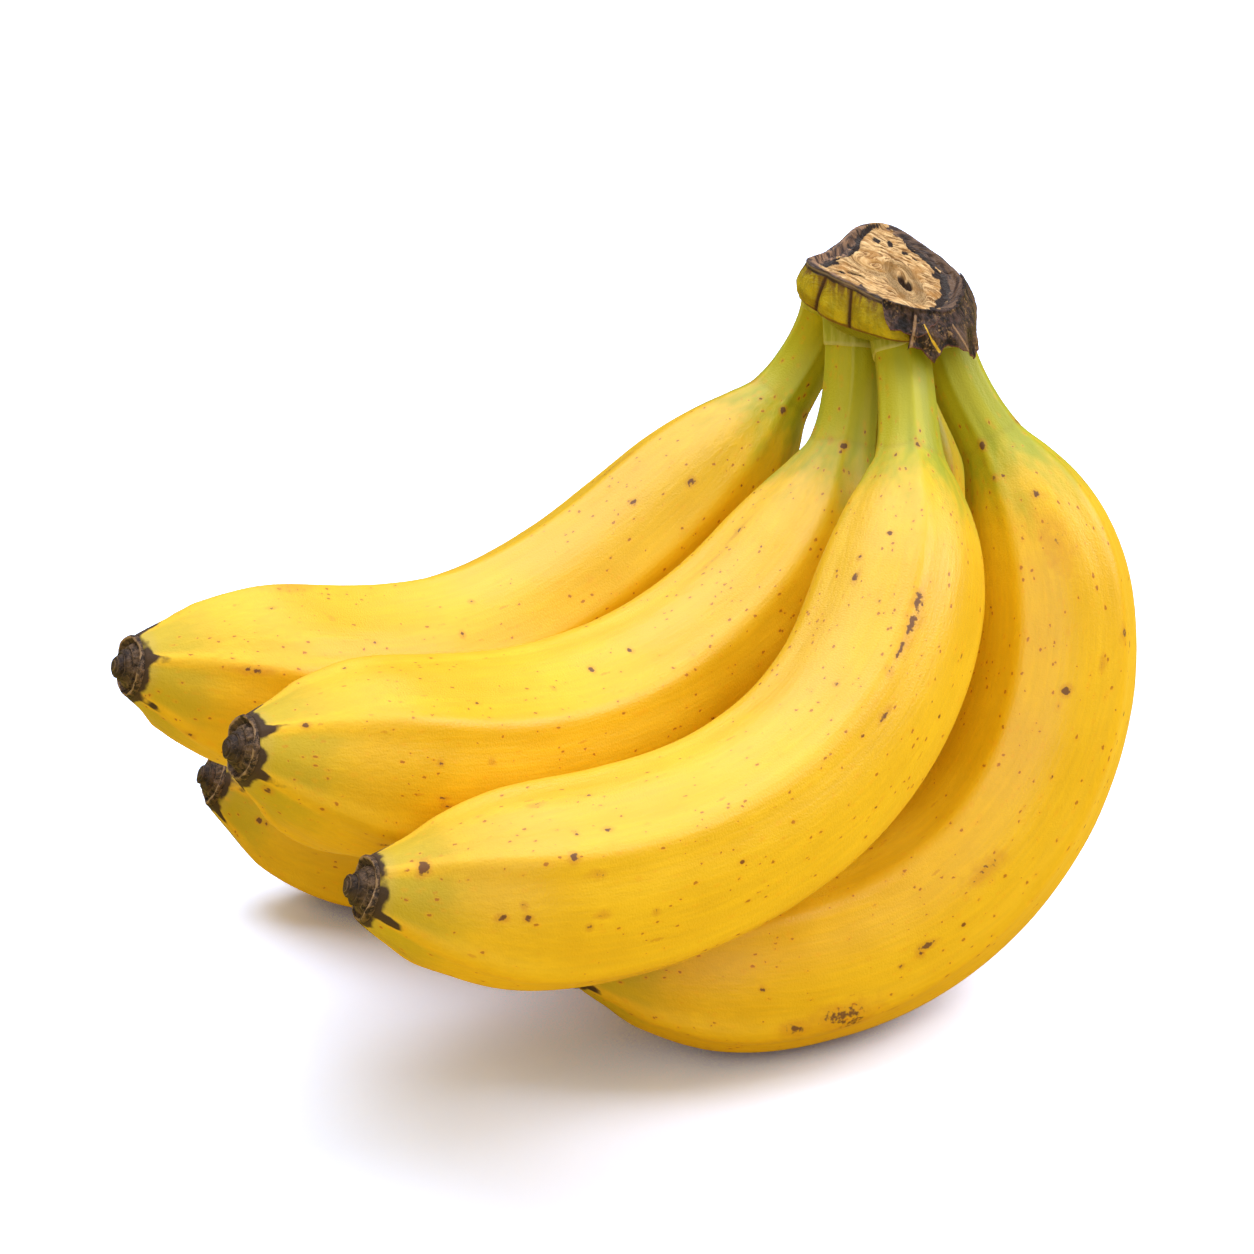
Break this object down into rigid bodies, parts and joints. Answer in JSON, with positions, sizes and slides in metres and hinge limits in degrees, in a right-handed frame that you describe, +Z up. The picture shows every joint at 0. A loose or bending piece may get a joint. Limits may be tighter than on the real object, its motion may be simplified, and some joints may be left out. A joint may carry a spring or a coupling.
{
  "type": "bunch of bananas",
  "caption": "Bunch of ripe yellow bananas joined at a woody cut crown, with dried flower remnants at the tips, lying on its lower fruits.",
  "frame": {"origin": "centre of the bounding box's bottom, on the surface that the bunch lies on", "axes": "+Z up, +X towards the side where the crown is, away from the fruits' tips, and -Y towards the side that the fruits' tips spread to"},
  "size_m": [0.1987, 0.1571, 0.1423],
  "materials": {
    "banana_skin": "satin ripe yellow peel, green on the stalks, with small brown specks",
    "dried_flower": "dry wrinkled dark brown",
    "woody_crown": "olive green wall, tan fibrous cut face and dark dried edges"
  },
  "bodies": {
    "root": {"banana_left": "banana_skin", "banana_centre": "banana_skin", "banana_front": "banana_skin", "banana_right": "banana_skin", "banana_back": "banana_skin", "remnant_left": "dried_flower", "remnant_centre": "dried_flower", "remnant_front": "dried_flower", "remnant_right": "dried_flower", "remnant_back": "dried_flower", "crown": "woody_crown"}
  },
  "joints": []
}
